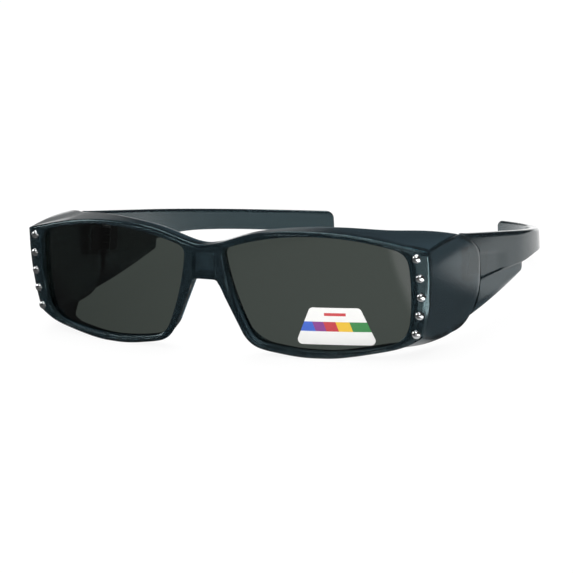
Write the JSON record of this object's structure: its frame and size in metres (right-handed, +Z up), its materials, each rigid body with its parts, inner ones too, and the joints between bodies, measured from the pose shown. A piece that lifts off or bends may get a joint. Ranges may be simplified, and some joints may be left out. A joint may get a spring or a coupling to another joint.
{
  "type": "fitover sunglasses",
  "caption": "Wraparound fitover sunglasses with a deep one-piece front, curved dark lenses, set stones and folding hooked temples.",
  "frame": {"origin": "on the table, below the middle of the whole with both temples open", "axes": "+X the wearer's left, -Y the way the wearer looks, +Z up"},
  "size_m": [0.1396, 0.1582, 0.0391],
  "materials": {
    "smoke_plastic": "translucent smoke grey, glossy, moulded",
    "lens": "dark neutral tint, polished on both faces",
    "hinge_metal": "bright satin",
    "screw_metal": "bright, slotted head",
    "stone": "faceted, silvered behind",
    "paper": "thin matt paper label with a plain colour band"
  },
  "bodies": {
    "front": {"front_frame": "smoke_plastic", "lens_left": "lens", "lens_right": "lens", "hinge_front_leaf_left": "hinge_metal", "hinge_front_leaf_right": "hinge_metal", "hinge_screw_left": "screw_metal", "hinge_screw_right": "screw_metal", "stone_left_1": "stone", "stone_left_2": "stone", "stone_left_3": "stone", "stone_left_4": "stone", "stone_left_5": "stone", "stone_right_1": "stone", "stone_right_2": "stone", "stone_right_3": "stone", "stone_right_4": "stone", "stone_right_5": "stone", "lens_sticker": "paper"},
    "temple_left": {"temple_left": "smoke_plastic", "hinge_temple_leaf_left": "hinge_metal"},
    "temple_right": {"temple_right": "smoke_plastic", "hinge_temple_leaf_right": "hinge_metal"}
  },
  "joints": [
    {"name": "temple_left_fold", "type": "hinge", "parent": "front", "child": "temple_left", "pos_m": [0.06525, -0.02773, 0.0205], "axis": [0, 0.2002, 0.9798], "range_deg": [0, 90]},
    {"name": "temple_right_fold", "type": "hinge", "parent": "front", "child": "temple_right", "pos_m": [-0.06525, -0.02773, 0.0205], "axis": [0, -0.2002, -0.9798], "range_deg": [0, 70]}
  ]
}
